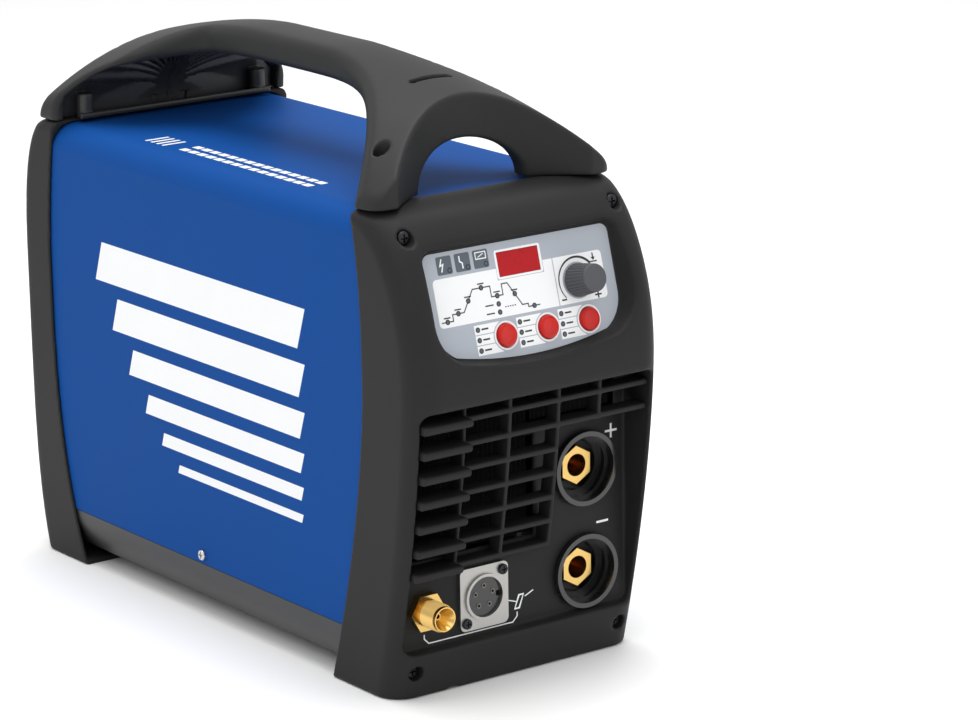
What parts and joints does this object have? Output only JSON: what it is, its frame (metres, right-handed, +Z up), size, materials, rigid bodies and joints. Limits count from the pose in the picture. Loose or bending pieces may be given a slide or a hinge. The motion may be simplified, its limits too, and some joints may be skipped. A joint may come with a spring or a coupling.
{
  "type": "tig welding machine",
  "caption": "Portable inverter TIG welder: blue folded cover between two black moulded ends, forked carrying handle, leaning control panel, louvred nose and twin brass output sockets.",
  "frame": {"origin": "on the ground under the middle of the machine's box", "axes": "+Z up, front with the control panel faces -Y, +X to the right as seen from the front, the machine's length runs along Y"},
  "size_m": [0.17, 0.4251, 0.338],
  "materials": {
    "shell_black": "fine textured moulded plastic, charcoal black",
    "tray_black": "smooth moulded plastic, black",
    "cover_blue": "powder coat, semi gloss blue",
    "label_grey": "printed polycarbonate, satin light grey",
    "window_red": "tinted red acrylic, polished",
    "button_red": "gloss red moulded cap",
    "knob_grey": "dark grey moulded knob, ribbed",
    "socket_black": "gloss black phenolic moulding",
    "brass": "turned brass, bright",
    "copper": "copper strip and enamelled wire",
    "zinc": "die-cast, nickel plated, satin",
    "steel": "zinc plated steel",
    "screw_black": "black oxide steel",
    "screw_zinc": "bright zinc plated steel",
    "board_green": "glass epoxy with green solder mask",
    "heatsink": "extruded aluminium, natural",
    "ferrite": "sintered ferrite, dark grey",
    "component_black": "moulded epoxy",
    "can_grey": "sleeved aluminium can",
    "hose_clear": "blue polyurethane hose",
    "fan_black": "glass-filled plastic, black",
    "shelf_grey": "fibre board"
  },
  "bodies": {
    "housing": {"front_bezel": "shell_black", "front_grille": "shell_black", "rear_bezel": "shell_black", "rear_grille": "shell_black", "handle": "shell_black", "hood_louvre": "shell_black", "base_tray": "tray_black", "cover": "cover_blue", "cover_brackets": "steel", "case_screws": "screw_black", "cover_screws": "screw_zinc", "fan_screws": "screw_black", "torch_socket_screws": "screw_black", "control_label": "label_grey", "display_window": "window_red", "display_module": "component_black", "control_board": "board_green", "power_board": "board_green", "encoder_body": "zinc", "button_switches": "component_black", "socket_plus_housing": "socket_black", "socket_plus_contact": "brass", "socket_minus_housing": "socket_black", "socket_minus_contact": "brass", "busbars": "copper", "gas_outlet": "brass", "gas_inlet": "brass", "gas_fitting_nuts": "brass", "valve_body": "brass", "torch_socket_contacts": "brass", "gas_hoses": "hose_clear", "valve_coil": "component_black", "torch_socket_flange": "zinc", "torch_socket_insert": "socket_black", "fan_frame": "fan_black", "mains_switch_body": "component_black", "cable_gland_body": "tray_black", "cable_gland_cap": "tray_black", "cable_gland_nut": "tray_black", "board_posts": "brass", "heatsink_primary": "heatsink", "heatsink_secondary": "heatsink", "igbt_modules": "component_black", "rectifier_diodes": "component_black", "bus_capacitors": "can_grey", "transformer_core": "ferrite", "transformer_winding": "copper", "upper_shelf": "shelf_grey", "output_choke_core": "ferrite", "output_choke_winding": "copper", "hf_ignition_unit": "component_black", "soft_start_relays": "component_black"},
    "selector_knob": {"encoder_knob": "knob_grey", "encoder_shaft": "steel"},
    "button_1": {"button_1": "button_red"},
    "button_2": {"button_2": "button_red"},
    "button_3": {"button_3": "button_red"},
    "fan": {"fan_rotor": "fan_black"},
    "mains_switch": {"mains_switch_knob": "fan_black"},
    "gas_valve_plunger": {"valve_plunger": "steel"}
  },
  "joints": [
    {"name": "selector_turn", "type": "hinge", "parent": "housing", "child": "selector_knob", "pos_m": [0.0372, -0.1948, 0.22234], "axis": [0, -0.9636, 0.2672], "continuous": true},
    {"name": "button_1_press", "type": "slide", "parent": "housing", "child": "button_1", "axis": [0, 0.9636, -0.2672], "range_m": [0, 0.0008], "stiffness_N_per_m": 600},
    {"name": "button_2_press", "type": "slide", "parent": "housing", "child": "button_2", "axis": [0, 0.9636, -0.2672], "range_m": [0, 0.0008], "stiffness_N_per_m": 600},
    {"name": "button_3_press", "type": "slide", "parent": "housing", "child": "button_3", "axis": [0, 0.9636, -0.2672], "range_m": [0, 0.0008], "stiffness_N_per_m": 600},
    {"name": "fan_spin", "type": "hinge", "parent": "housing", "child": "fan", "pos_m": [0.022, 0.174, 0.118], "axis": [0, 1, 0], "continuous": true},
    {"name": "mains_switch_turn", "type": "hinge", "parent": "housing", "child": "mains_switch", "pos_m": [-0.05, 0.19, 0.196], "axis": [0, 1, 0], "range_deg": [0, 90]},
    {"name": "gas_valve_lift", "type": "slide", "parent": "housing", "child": "gas_valve_plunger", "axis": [0, 0, 1], "range_m": [0, 0.002], "stiffness_N_per_m": 900}
  ]
}
